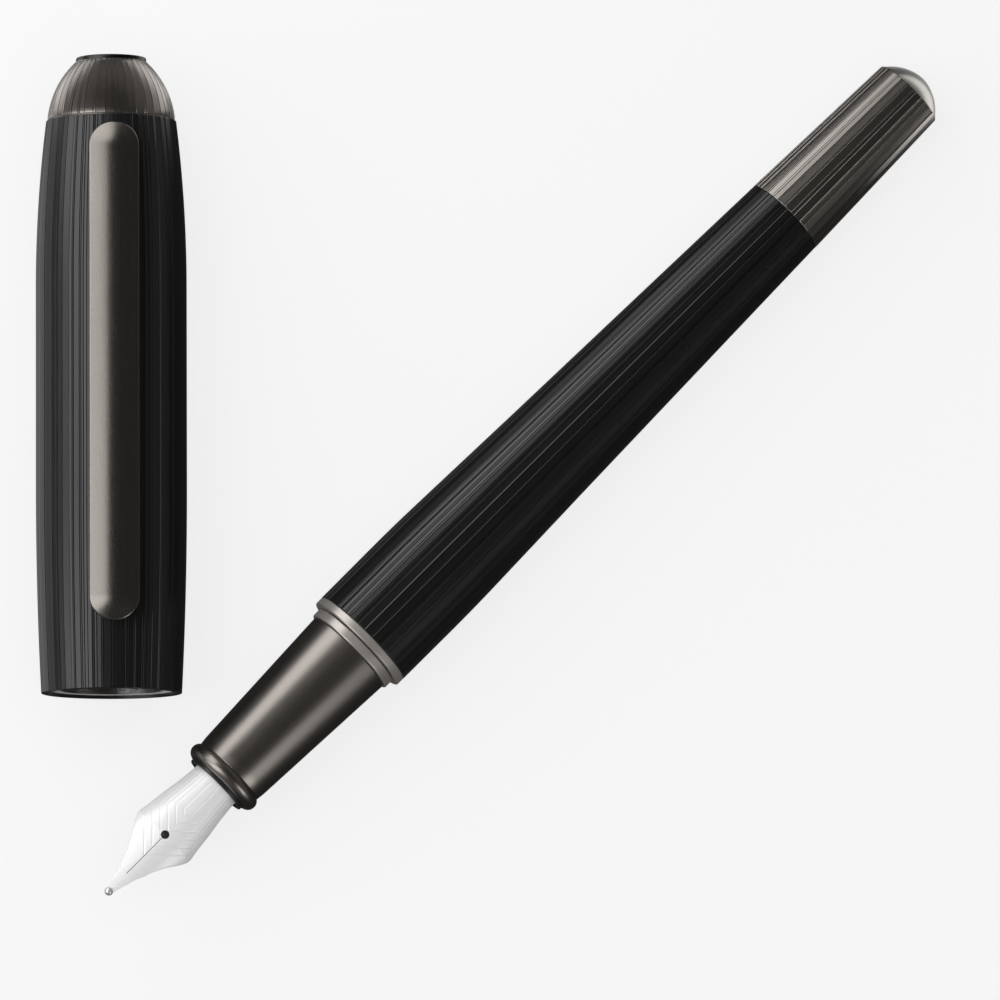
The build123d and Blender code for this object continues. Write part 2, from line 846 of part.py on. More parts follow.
with BuildPart() as cap_disc:
    with BuildSketch(cap_plane):
        with BuildLine():
            Polyline(
                (recess, 0),
                (recess, disc_radius),
                (recess + disc_thickness - trim_chamfer, disc_radius),
                (recess + disc_thickness, disc_radius - trim_chamfer),
                (recess + disc_thickness, 0),
                close=True,
            )
        make_face()
    revolve(axis=cap_axis)
cap_disc.part.label = "cap_disc"
export_step(cap_disc.part, "parts/cap_disc.step")

with BuildPart() as cap_screw:
    with BuildSketch(cap_plane):
        with BuildLine():
            Polyline(
                (inner_cap_wall_start - screw_head_length, 0),
                (inner_cap_wall_start - screw_head_length, screw_head_radius),
                (inner_cap_wall_start, screw_head_radius),
                (inner_cap_wall_start, screw_radius),
                (screw_end, screw_radius),
                (screw_end, 0),
                close=True,
            )
        make_face()
    revolve(axis=cap_axis)
cap_screw.part.label = "cap_screw"
export_step(cap_screw.part, "parts/cap_screw.step")

# ================================================================ clip body
clip_underside = cap_radius + clip_rise
clip_topside = clip_underside + clip_thickness
bump_middle = clip_tip_from_mouth + clip_bump_from_tip
swell_drop = (cap_radius - cap_mouth_radius) * (1 - bump_middle / cap_swell_start) ** 2
bump_bottom = cap_radius - swell_drop + clip_touch_gap
with BuildPart() as clip:
    with BuildSketch(cap_plane):
        with BuildLine():
            Polyline(
                (clip_tip_from_mouth, clip_underside),
                (clip_tip_from_mouth, clip_topside),
                (clip_back_from_mouth, clip_topside),
                (clip_back_from_mouth, clip_underside),
                (foot_from_mouth + foot_length, clip_underside),
                (foot_from_mouth + foot_length, clip_underside - clip_rise / 2),
                (foot_from_mouth, clip_underside - clip_rise / 2),
                (foot_from_mouth, clip_underside),
                (bump_middle + clip_bump_length / 2, clip_underside),
            )
            ThreePointArc(
                (bump_middle + clip_bump_length / 2, clip_underside),
                (bump_middle, bump_bottom),
                (bump_middle - clip_bump_length / 2, clip_underside),
            )
            Line(
                (bump_middle - clip_bump_length / 2, clip_underside),
                (clip_tip_from_mouth, clip_underside),
            )
        make_face()
    extrude(amount=clip_width / 2, both=True)
    with BuildSketch(cap_top):
        with Locations(((clip_tip_from_mouth + clip_back_from_mouth) / 2, 0)):
            SlotOverall(clip_back_from_mouth - clip_tip_from_mouth, clip_width)
    extrude(amount=2 * cap_radius, mode=Mode.INTERSECT)
    with BuildSketch(cap_top.offset(foot_bottom)):
        with Locations((slot_middle, 0)):
            Rectangle(foot_length, foot_width)
    extrude(amount=clip_underside + clip_thickness / 2 - foot_bottom)
clip.part.label = "clip"
export_step(clip.part, "parts/clip.step")
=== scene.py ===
"""Looks for the fountain pen and its cap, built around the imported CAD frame. Sizes here are in millimetres
along each piece's own axis, and `place` turns them into metres in the row frame."""
import json
import math
import random

import bmesh
import bpy
from mathutils import Matrix, Vector


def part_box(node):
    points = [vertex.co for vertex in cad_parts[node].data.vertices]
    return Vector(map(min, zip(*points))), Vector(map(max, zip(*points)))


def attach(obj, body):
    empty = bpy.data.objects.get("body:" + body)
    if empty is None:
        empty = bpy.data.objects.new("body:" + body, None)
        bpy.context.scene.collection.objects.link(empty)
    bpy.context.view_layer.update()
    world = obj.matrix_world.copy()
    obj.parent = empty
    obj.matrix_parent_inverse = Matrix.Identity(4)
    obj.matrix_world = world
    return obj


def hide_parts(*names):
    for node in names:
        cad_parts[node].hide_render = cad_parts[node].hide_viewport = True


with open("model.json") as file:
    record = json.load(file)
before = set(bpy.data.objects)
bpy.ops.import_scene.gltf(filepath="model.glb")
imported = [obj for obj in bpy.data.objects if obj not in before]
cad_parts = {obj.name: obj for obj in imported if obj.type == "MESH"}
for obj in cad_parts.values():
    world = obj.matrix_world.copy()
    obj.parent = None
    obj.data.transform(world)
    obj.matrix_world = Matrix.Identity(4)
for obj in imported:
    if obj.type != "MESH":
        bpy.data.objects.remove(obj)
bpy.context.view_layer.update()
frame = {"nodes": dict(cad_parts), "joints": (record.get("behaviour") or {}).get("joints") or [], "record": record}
MM = 0.001
FILLET_STEPS = 5
FILLET_SHARE = 0.4  # a fillet takes up at most this share of the edge on either side
SUPPORT = 1.15  # support rings stand this many fillet reaches from a rounded corner
FINE = 176  # columns round a smooth piece
GROOVE_HALF = 0.045  # half the width of a groove between two facets
NO_RADIUS = 1e-6  # a smaller radius is a point on the axis
ALONG = 0.5  # an edge with a larger share than this along the axis runs along the piece

# ---------------------------------------------------------------- the two axes
joints = {joint["name"]: joint for joint in frame["joints"]}
section_turn = joints["section_turn"]


class Line:
    """An axis in the row frame, with the directions that count as up and as side."""

    def __init__(self, origin, along):
        self.origin = Vector(origin)
        self.along = Vector(along).normalized()
        self.up = (Vector((0, 0, 1)) - self.along.z * self.along).normalized()
        self.side = self.along.cross(self.up)

    def place(self, x, side, up):
        """The row-frame point, in metres, of a point given in millimetres along this axis."""
        return self.origin + MM * (x * self.along + side * self.side + up * self.up)


pen = Line(section_turn["pos_m"], -Vector(section_turn["axis"]))
shell_low, shell_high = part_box("cap_shell")
cap = Line(((shell_low.x + shell_high.x) / 2, shell_low.y, (shell_low.z + shell_high.z) / 2), (0, 1, 0))


def span(node, line):
    """A CAD node's reach along an axis and its smallest and largest radius about it, in millimetres."""
    reach, radii = [], []
    for vertex in frame["nodes"][node].data.vertices:
        offset = vertex.co - line.origin
        x = offset.dot(line.along)
        reach.append(x / MM)
        radii.append((offset - x * line.along).length / MM)
    return min(reach), max(reach), min(radii), max(radii)


# ---------------------------------------------------------------- shared builders
def finish_piece(name, mesh, body, nodes, material):
    piece = bpy.data.objects.new(name, mesh)
    bpy.context.collection.objects.link(piece)
    mesh.materials.append(material)
    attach(piece, body)
    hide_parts(*nodes)
    return piece


def rounded(points, closed):
    """The profile with each corner that states a fillet replaced by a short curve."""
    out = []
    last = len(points) - 1
    for index, (x, r, fillet, flute) in enumerate(points):
        if fillet == 0 or (not closed and index in (0, last)):
            out.append((x, r, flute))
            continue
        here = Vector((x, r))
        back = Vector(points[index - 1][:2]) - here
        forth = Vector(points[(index + 1) % len(points)][:2]) - here
        reach = min(fillet, FILLET_SHARE * back.length, FILLET_SHARE * forth.length)
        start = here + back.normalized() * reach
        end = here + forth.normalized() * reach
        support = here + back.normalized() * reach * SUPPORT
        out.append((support.x, support.y, flute))
        for step in range(FILLET_STEPS + 1):
            t = step / FILLET_STEPS
            point = (1 - t) ** 2 * start + 2 * t * (1 - t) * here + t * t * end
            out.append((point.x, point.y, flute))
        support = here + forth.normalized() * reach * SUPPORT
        out.append((support.x, support.y, flute))
    return out


def even(count):
    """Evenly spaced columns with no flutes."""
    return [(2 * math.pi * i / count, 0.0, False) for i in range(count)]


def fluted(seed, radius, wide, narrow, narrow_after, depth, tilt):
    """Columns round the axis: flat facets of mixed widths, each pair parted by a fine groove."""
    rng = random.Random(seed)
    widths = []
    while sum(widths) < 2 * math.pi * radius:
        widths.append(rng.uniform(*wide))
        for _ in range(rng.choice(narrow_after)):
            widths.append(rng.uniform(*narrow))
    scale = 2 * math.pi / sum(widths)
    groove = GROOVE_HALF / radius
    columns = []
    angle = rng.uniform(0, 1)
    for width in widths:
        reach = width * scale
        columns.append((angle + groove, rng.uniform(0, tilt), True))
        columns.append((angle + reach - groove, rng.uniform(0, tilt), True))
        columns.append((angle + reach, depth * rng.uniform(0.6, 1.0), True))
        angle += reach
    return columns


def turned(name, line, profile, columns, body, nodes, material, closed=True):
    """A piece turned about an axis. Each profile point is (x, radius, fillet, share of the flutes)."""
    rings = rounded(profile, closed)
    build = bmesh.new()
    grid = []
    for x, r, flute in rings:
        if r < NO_RADIUS:
            grid.append([build.verts.new(line.place(x, 0, 0))])
            continue
        row = []
        for angle, drop, _ in columns:
            radius = r - flute * drop
            row.append(build.verts.new(line.place(x, radius * math.sin(angle), radius * math.cos(angle))))
        grid.append(row)
    pairs = list(zip(grid, grid[1:]))
    if closed:
        pairs.append((grid[-1], grid[0]))
    for one, two in pairs:
        for i in range(len(columns)):
            j = (i + 1) % len(columns)
            corners = [one[i % len(one)], one[j % len(one)], two[j % len(two)], two[i % len(two)]]
            corners = list(dict.fromkeys(corners))
            if len(corners) > 2:
                build.faces.new(corners)
    bmesh.ops.recalc_face_normals(build, faces=build.faces)
    for face in build.faces:
        face.smooth = True
    for row, (_, _, flute) in zip(grid, rings):
        if flute and len(row) > 1:
            for vertex, (_, _, crease) in zip(row, columns):
                for edge in vertex.link_edges:
                    direction = (edge.verts[0].co - edge.verts[1].co).normalized()
                    if crease and abs(direction.dot(line.along)) > ALONG:
                        edge.smooth = False
    mesh = bpy.data.meshes.new(name)
    build.to_mesh(mesh)
    build.free()
    return finish_piece(name, mesh, body, nodes, material)


def arc(start, middle, end, steps):
    """Points (x, r) on the circle through three points, both ends included."""
    ax, ay = start
    bx, by = middle
    cx, cy = end
    d = 2 * (ax * (by - cy) + bx * (cy - ay) + cx * (ay - by))
    ux = ((ax**2 + ay**2) * (by - cy) + (bx**2 + by**2) * (cy - ay) + (cx**2 + cy**2) * (ay - by)) / d
    uy = ((ax**2 + ay**2) * (cx - bx) + (bx**2 + by**2) * (ax - cx) + (cx**2 + cy**2) * (bx - ax)) / d
    first = math.atan2(ay - uy, ax - ux)
    last = math.atan2(cy - uy, cx - ux)
    if last - first > math.pi:
        last -= 2 * math.pi
    if first - last > math.pi:
        last += 2 * math.pi
    radius = math.hypot(ax - ux, ay - uy)
    out = []
    for step in range(steps + 1):
        angle = first + (last - first) * step / steps
        out.append((ux + radius * math.cos(angle), uy + radius * math.sin(angle)))
    return out


# ---------------------------------------------------------------- materials
STREAK_LENGTH = 12.0  # how many times longer than wide a streak is
STREAK_SCALE = 2600
SPECKLE_SCALE = 5200
RELIEF_HEIGHT = 0.00002  # metres
SMOOTHEST = 0.02


def surface(name, colour, metallic, roughness, turn, spread=0.06, bump=0.08, shade=0.12, **fixed):
    """A procedural finish. Streaks along the piece's axis vary its colour and roughness, and fine speckle
    its relief. `fixed` sets sockets that are the same all over, with _ for each space in a socket's name."""
    material = bpy.data.materials.new(name)
    material.use_nodes = True
    nodes = material.node_tree.nodes
    links = material.node_tree.links
    shader = nodes["Principled BSDF"]
    shader.inputs["Metallic"].default_value = metallic
    for socket, value in fixed.items():
        shader.inputs[socket.replace("_", " ")].default_value = value
    place = nodes.new("ShaderNodeTexCoord")
    mapping = nodes.new("ShaderNodeMapping")
    mapping.vector_type = "TEXTURE"
    mapping.inputs["Rotation"].default_value = (0, 0, turn)
    mapping.inputs["Scale"].default_value = (STREAK_LENGTH, 1, 1)
    streaks = nodes.new("ShaderNodeTexNoise")
    streaks.inputs["Scale"].default_value = STREAK_SCALE
    streaks.inputs["Detail"].default_value = 3
    speckle = nodes.new("ShaderNodeTexNoise")
    speckle.inputs["Scale"].default_value = SPECKLE_SCALE
    rough = nodes.new("ShaderNodeMapRange")
    rough.inputs["To Min"].default_value = max(SMOOTHEST, roughness - spread)
    rough.inputs["To Max"].default_value = roughness + spread
    tint = nodes.new("ShaderNodeMix")
    tint.data_type = "RGBA"
    tint.inputs["A"].default_value = (*(c * (1 - shade) for c in colour), 1)
    tint.inputs["B"].default_value = (*(min(1, c * (1 + shade)) for c in colour), 1)
    relief = nodes.new("ShaderNodeBump")
    relief.inputs["Strength"].default_value = bump
    relief.inputs["Distance"].default_value = RELIEF_HEIGHT
    links.new(place.outputs["Object"], mapping.inputs["Vector"])
    links.new(mapping.outputs["Vector"], streaks.inputs["Vector"])
    links.new(place.outputs["Object"], speckle.inputs["Vector"])
    links.new(streaks.outputs["Fac"], rough.inputs["Value"])
    links.new(rough.outputs["Result"], shader.inputs["Roughness"])
    links.new(streaks.outputs["Fac"], tint.inputs["Factor"])
    links.new(tint.outputs["Result"], shader.inputs["Base Color"])
    links.new(speckle.outputs["Fac"], relief.inputs["Height"])
    links.new(relief.outputs["Normal"], shader.inputs["Normal"])
    return material


PEN_TURN = math.radians(45)
CAP_TURN = math.radians(90)
EVEN_METAL = {"spread": 0.02, "bump": 0.02, "shade": 0.03}
LACQUER = (0.004, 0.004, 0.004)
black_pen = surface("black_lacquer_pen", LACQUER, 0, 0.32, PEN_TURN, IOR=1.6)
black_cap = surface("black_lacquer_cap", LACQUER, 0, 0.32, CAP_TURN, IOR=1.6)
gun_pen = surface("gunmetal_pen", (0.30, 0.275, 0.255), 1, 0.33, PEN_TURN, **EVEN_METAL)
gun_tail = surface("gunmetal_tail", (0.31, 0.29, 0.27), 1, 0.30, PEN_TURN, spread=0.03)
gun_cap = surface(
    "gunmetal_cap", (0.34, 0.31, 0.285), 1, 0.34, CAP_TURN, Sheen_Weight=0.5, Sheen_Roughness=0.35
)
gun_dome = surface(
    "gunmetal_dome", (0.40, 0.38, 0.35), 1, 0.30, PEN_TURN, **EVEN_METAL,
    Sheen_Weight=0.6, Sheen_Roughness=0.35,
)
satin = surface(
    "gunmetal_satin", (0.27, 0.25, 0.23), 1, 0.27, CAP_TURN, spread=0.02, bump=0.03, shade=0.04
)
bright = surface(
    "bright_trim", (0.46, 0.43, 0.40), 0.7, 0.34, PEN_TURN, spread=0.02, bump=0.004, shade=0.03
)
dark_disc = surface("gunmetal_disc", (0.045, 0.042, 0.040), 1, 0.30, CAP_TURN, **EVEN_METAL)
nib_steel = surface("nib_steel", (0.80, 0.80, 0.80), 0.25, 0.38, PEN_TURN, bump=0.02, shade=0.02)
tipping = surface("tipping", (0.75, 0.74, 0.73), 0.7, 0.35, PEN_TURN)
black_plastic = surface("black_plastic", (0.015, 0.015, 0.015), 0, 0.30, PEN_TURN)
liner = surface("liner_plastic", (0.03, 0.03, 0.032), 0, 0.45, CAP_TURN)
knob_plastic = surface("knob_plastic", (0.02, 0.02, 0.022), 0, 0.38, PEN_TURN)
clear = surface("clear_plastic", (0.92, 0.94, 0.95), 0, 0.06, PEN_TURN, shade=0.01, Transmission_Weight=0.95)
rubber = surface("seal_rubber", (0.02, 0.02, 0.02), 0, 0.6, PEN_TURN)
brass = surface("brass", (0.72, 0.53, 0.24), 1, 0.28, PEN_TURN)
spring = surface("spring_steel", (0.55, 0.55, 0.55), 1, 0.25, CAP_TURN)
BY_SLOT = {
    "black_lacquer": black_pen,
    "gunmetal": gun_pen,
    "gunmetal_satin": satin,
    "bright_trim": bright,
    "nib_steel": nib_steel,
    "tipping": tipping,
    "black_plastic": black_plastic,
    "liner_plastic": liner,
    "knob_plastic": knob_plastic,
    "clear_plastic": clear,
    "seal_rubber": rubber,
    "brass": brass,
    "spring_steel": spring,
}
for entry in frame["record"]["subparts"]:
    cad = frame["nodes"][entry["node"]]
    cad.data.materials.clear()
    cad.data.materials.append(BY_SLOT[entry["material_slot"]])

# ---------------------------------------------------------------- barrel and tail
# each list below holds profile points: (x, radius, fillet, share of the flutes)
BREAK = 0.05  # the small round on a corner that a hand doesn't feel
LACQUER_RIBS = ((0.30, 0.95), (0.14, 0.26), (0, 1, 1, 2), 0.09, 0.036)
BARREL_SEED = 11
BARREL_BORE = 5.00
BARREL_SWELL_AT = 9.65
BARREL_TAPER_AT = 25.35
BARREL_BEND = 3.0
TAIL_BORE = 3.65
front, back, _, widest = span("barrel_shell", pen)
barrel_columns = fluted(BARREL_SEED, widest, *LACQUER_RIBS)
turned("barrel_shell_look", pen, [
    (front, BARREL_BORE, BREAK, 0),
    (front, widest - 0.03, 0.08, 1),
    (front + BARREL_SWELL_AT, widest, BARREL_BEND, 1),
    (front + BARREL_TAPER_AT, widest - 0.48, BARREL_BEND, 1),
    (back, 4.25, 0.06, 1),
    (back, TAIL_BORE, BREAK, 0),
    (front + 10.15, BARREL_BORE, BREAK, 0),
], barrel_columns, "barrel", ["barrel_shell"], black_pen)

front, back, inner, outer = span("trim_ring", pen)
turned("trim_ring_look", pen, [
    (front, inner, BREAK, 0),
    (front, outer, 0.14, 0),
    (back, outer, 0.14, 0),
    (back, inner, BREAK, 0),
], even(FINE), "barrel", ["trim_ring"], bright)

TAIL_SEED = 5
TAIL_RIBS = ((0.35, 0.9), (0.14, 0.26), (0, 1, 1), 0.06, 0.022)
front, back, _, outer = span("tail_sleeve", pen)
tail_columns = fluted(TAIL_SEED, outer, *TAIL_RIBS)
turned("tail_sleeve_look", pen, [
    (front, TAIL_BORE, BREAK, 0),
    (front, outer, 0.10, 1),
    (back, 3.72, 0.10, 1),
    (back, 3.12, BREAK, 0),
], tail_columns, "barrel", ["tail_sleeve"], gun_tail)

TAIL_DOME_RADIUS = 3.60
TAIL_PLUG_RADIUS = 3.10
start, apex, _, _ = span("tail_dome", pen)
dome_base = back
dome_arc = arc((dome_base, TAIL_DOME_RADIUS), (apex - 0.52, 1.82), (apex, 0.0001), 24)
turned("tail_dome_look", pen, [
    (start, 0, 0, 0),
    (start, TAIL_PLUG_RADIUS, 0.2, 0),
    (dome_base, TAIL_PLUG_RADIUS, 0, 0),
    (dome_base, TAIL_DOME_RADIUS, BREAK, 0),
    *((x, r, 0, 0) for x, r in dome_arc[1:-1]),
    (apex, 0, 0, 0),
], even(FINE), "barrel", ["tail_dome"], gun_dome, closed=False)

# ---------------------------------------------------------------- grip section
front, back, inner, outer = span("step_ring", pen)
turned("step_ring_look", pen, [
    (front, inner, BREAK, 0),
    (front, outer, 0.16, 0),
    (back, outer, 0.06, 0),
    (back, inner, BREAK, 0),
], even(FINE), "seat", ["step_ring"], bright)

THREAD_SEAT_RADIUS = 3.90
THREAD_SEAT_DEPTH = 4.9
SECTION_FRONT_RADIUS = 3.81
front, back, inner, outer = span("section_shell", pen)
turned("section_shell_look", pen, [
    (front, inner, BREAK, 0),
    (front, SECTION_FRONT_RADIUS, 0.10, 0),
    (front + 0.8, 3.91, 0.5, 0),
    (back, outer, 0.08, 0),
    (back, THREAD_SEAT_RADIUS, BREAK, 0),
    (back - THREAD_SEAT_DEPTH, THREAD_SEAT_RADIUS, BREAK, 0),
    (back - THREAD_SEAT_DEPTH, inner, BREAK, 0),
], even(FINE), "section", ["section_shell"], gun_pen)

front, back, inner, outer = span("bead_ring", pen)
bead = arc((front, 3.32), ((front + back) / 2, outer), (back, SECTION_FRONT_RADIUS), 20)
turned("bead_ring_look", pen, [
    (front, inner, 0.04, 0),
    *((x, r, 0, 0) for x, r in bead),
    (back, inner, 0.04, 0),
], even(FINE), "section", ["bead_ring"], gun_pen)

COLLAR_LIP = 0.35
COLLAR_RADIUS = 3.10
front, back, inner, outer = span("nib_collar", pen)
turned("nib_collar_look", pen, [
    (front, inner, BREAK, 0),
    (front, outer, 0.08, 0),
    (front + COLLAR_LIP, outer, 0.04, 0),
    (front + COLLAR_LIP, COLLAR_RADIUS, 0.04, 0),
    (back, COLLAR_RADIUS, BREAK, 0),
    (back, inner, BREAK, 0),
], even(FINE), "section", ["nib_collar"], black_plastic)

# ---------------------------------------------------------------- nib
NIB_TIP, nib_back, _, _ = span("nib", pen)
COLLAR = front
SHOULDER = COLLAR - 7.05
HOLE = 0.42  # radius of the breather hole
SLIT_HALF = 0.03
SHEET = 0.25  # thickness of the metal
# x along the pen and half of the nib's width there
OUTLINE = (
    (NIB_TIP, 0.35), (-33.4, 0.49), (-32.8, 0.64), (-32.2, 0.83), (-31.65, 0.98),
    (-31.1, 1.22), (-30.5, 1.47), (-29.9, 1.66), (-29.3, 1.95), (-28.7, 2.25),
    (-28.1, 2.62), (-27.5, 3.02), (-27.0, 3.29), (-26.6, 3.42), (-26.2, 3.43),
    (-25.2, 3.25), (-23.4, 3.05), (-21.7, 2.78), (-19.9, 2.59), (nib_back, 2.58),
)
# x along the pen, radius of the nib's arch and height of its crest
ARCH = ((NIB_TIP, 4.1, 0.75), (SHOULDER, 4.1, 2.35), (COLLAR, 2.7, 2.7), (nib_back, 2.7, 2.7))
# x of each engraved chevron's apex and how far out its arms reach
CHEVRONS = ((-29.3, 3.1), (-28.2, 2.75), (-27.1, 2.4), (-26.1, 2.0), (-25.0, 1.4), (-23.9, 0.5))
GROOVE_DEPTH = 0.035
GROOVE_WIDTH = 0.045
CHEVRON_LEAD = 0.2  # no engraving is worked out further than this before an apex
FINE_STEP = 0.05
COARSE_STEP = 0.5
HIDDEN_AFTER = 0.3  # the steps grow coarse this far inside the collar
HOLE_MARGIN = 0.02
HOLE_STEPS = 24


def lookup(table, x, column=1):
    """The straight-line value at x of one column of a table sorted by x."""
    for one, two in zip(table, table[1:]):
        if x <= two[0]:
            share = (x - one[0]) / (two[0] - one[0])
            return one[column] + (two[column] - one[column]) * share
    return table[-1][column]


def engraved(x, y):
    """How deep the nib's engraved lines cut at a point seen from above."""
    depth = 0
    width = lookup(OUTLINE, x)
    for apex, reach in CHEVRONS:
        turn = apex + reach
        if x < apex - CHEVRON_LEAD:
            continue
        if x < turn:
            distance = abs(abs(y) - (x - apex)) * math.sqrt(0.5)
        else:
            distance = abs(abs(y) - reach * min(1, width / lookup(OUTLINE, turn)))
        depth = max(depth, GROOVE_DEPTH * math.exp(-((distance / GROOVE_WIDTH) ** 2)))
    return depth


def nib_rows():
    """Stations along the nib, closer round the breather hole."""
    rows = []
    x = NIB_TIP
    while x < nib_back:
        rows.append(x)
        x += FINE_STEP if x < COLLAR + HIDDEN_AFTER else COARSE_STEP
    rows = [r for r in rows if abs(r - SHOULDER) > HOLE + HOLE_MARGIN]
    rows += [SHOULDER - HOLE * math.cos(math.pi * i / HOLE_STEPS) for i in range(HOLE_STEPS + 1)]
    rows.append(nib_back)
    return sorted(rows)


def inner_edge(x):
    """Half of the opening at the nib's middle: the slit, then the hole, then nothing."""
    if abs(x - SHOULDER) < HOLE:
        return max(math.sqrt(HOLE**2 - (x - SHOULDER) ** 2), SLIT_HALF)
    return SLIT_HALF if x < SHOULDER else 0.0


ACROSS = 60  # strips from the slit to the edge
EDGE_ROLL = 0.05
ROLL_FROM = 0.965
ROLL_SPAN = 0.035
WELD = 1e-7
NIB_CREASE = math.radians(50)
build = bmesh.new()
rows = nib_rows()
for hand in (-1, 1):
    top, bottom = [], []
    for x in rows:
        width = lookup(OUTLINE, x)
        arch = lookup(ARCH, x)
        crest = lookup(ARCH, x, 2)
        opening = inner_edge(x)
        upper, lower = [], []
        for i in range(ACROSS + 1):
            share = i / ACROSS
            y = opening + share * (width - opening)
            fall = arch - math.sqrt(arch * arch - y * y)
            roll = EDGE_ROLL * max(0, (share - ROLL_FROM) / ROLL_SPAN) ** 2
            upper.append(build.verts.new(pen.place(x, hand * y, crest - fall - roll - engraved(x, y))))
            lean = y / arch
            rise = math.sqrt(1 - lean * lean)
            inner_y = y - SHEET * lean if opening == 0 or i else y
            lower.append(build.verts.new(pen.place(x, hand * inner_y, crest - fall - SHEET * rise)))
        top.append(upper)
        bottom.append(lower)
    for r in range(len(rows) - 1):
        for i in range(ACROSS):
            build.faces.new((top[r][i], top[r][i + 1], top[r + 1][i + 1], top[r + 1][i]))
            build.faces.new((bottom[r][i], bottom[r + 1][i], bottom[r + 1][i + 1], bottom[r][i + 1]))
        build.faces.new((top[r][-1], bottom[r][-1], bottom[r + 1][-1], top[r + 1][-1]))
        if inner_edge((rows[r] + rows[r + 1]) / 2) > 0:
            build.faces.new((top[r][0], top[r + 1][0], bottom[r + 1][0], bottom[r][0]))
    for r in (0, -1):
        for i in range(ACROSS):
            build.faces.new((top[r][i], bottom[r][i], bottom[r][i + 1], top[r][i + 1]))
bmesh.ops.remove_doubles(build, verts=build.verts, dist=WELD)
bmesh.ops.recalc_face_normals(build, faces=build.faces)
for face in build.faces:
    face.smooth = True
nib_mesh = bpy.data.meshes.new("nib_look")
build.to_mesh(nib_mesh)
build.free()
nib_mesh.set_sharp_from_angle(angle=NIB_CREASE)
finish_piece("nib_look", nib_mesh, "section", ["nib"], nib_steel)

POINT = 0.42  # radius of the ball at the nib's tip
POINT_HEIGHT = 0.625
POINT_STEPS = 16
POINT_COLUMNS = 48
point_line = Line(pen.place(NIB_TIP, 0, POINT_HEIGHT), pen.along)
point_angles = [math.pi * i / POINT_STEPS for i in range(1, POINT_STEPS)]
turned("nib_point_look", point_line, [
    (-POINT, 0, 0, 0),
    *((-POINT * math.cos(angle), POINT * math.sin(angle), 0, 0) for angle in point_angles),
    (POINT, 0, 0, 0),
], even(POINT_COLUMNS), "section", ["nib_point"], tipping, closed=False)

# ---------------------------------------------------------------- cap
CAP_SEED = 23
CAP_RADIUS = 7.32
CAP_MOUTH_RADIUS = 6.81
CAP_END_RADIUS = 6.32
CAP_BORE = 6.15
CAP_INNER_END = 53.0
DOME_STEM = 4.0  # radius of the part of the dome that fills the shell's end
_, cap_end, _, _ = span("cap_shell", cap)
front_arc = arc((0, CAP_MOUTH_RADIUS), (10.0, 7.1925), (20.0, CAP_RADIUS), 14)
back_arc = arc((39.4, CAP_RADIUS), (47.5, 7.07), (cap_end, CAP_END_RADIUS), 16)
cap_columns = fluted(CAP_SEED, CAP_RADIUS, *LACQUER_RIBS)
cap_shell_look = turned("cap_shell_look", cap, [
    (0, CAP_BORE, BREAK, 0),
    (0, CAP_MOUTH_RADIUS, 0.10, 1),
    *((x, r, 0, 1) for x, r in front_arc[1:]),
    *((x, r, 0, 1) for x, r in back_arc[:-1]),
    (cap_end, CAP_END_RADIUS, 0.06, 1),
    (cap_end, DOME_STEM, BREAK, 0),
    (CAP_INNER_END, DOME_STEM, BREAK, 0),
    (CAP_INNER_END, CAP_BORE, BREAK, 0),
], cap_columns, "cap", ["cap_shell"], black_cap)


def cut_slot(piece, x0, x1, half_width, low, high):
    """Cuts a straight slot down through a piece with a box drawn in the cap's own directions."""
    build = bmesh.new()
    bmesh.ops.create_cube(build, size=1)
    for vertex in build.verts:
        x = x0 if vertex.co.x < 0 else x1
        side = math.copysign(half_width, vertex.co.y)
        vertex.co = cap.place(x, side, low if vertex.co.z < 0 else high)
    bmesh.ops.recalc_face_normals(build, faces=build.faces)
    mesh = bpy.data.meshes.new("slot_cutter")
    build.to_mesh(mesh)
    build.free()
    cutter = bpy.data.objects.new("slot_cutter", mesh)
    bpy.context.collection.objects.link(cutter)
    modifier = piece.modifiers.new("slot", "BOOLEAN")
    modifier.operation = "DIFFERENCE"
    modifier.solver = "EXACT"
    modifier.object = cutter
    graph = bpy.context.evaluated_depsgraph_get()
    result = bpy.data.meshes.new_from_object(piece.evaluated_get(graph), depsgraph=graph)
    piece.modifiers.clear()
    piece.data = result
    bpy.data.objects.remove(cutter)


SLOT_START = 50.75
SLOT_END = 52.25
SLOT_HALF = 1.65
SLOT_FLOOR = 3.5
SLOT_TOP = 9.0
cut_slot(cap_shell_look, SLOT_START, SLOT_END, SLOT_HALF, SLOT_FLOOR, SLOT_TOP)

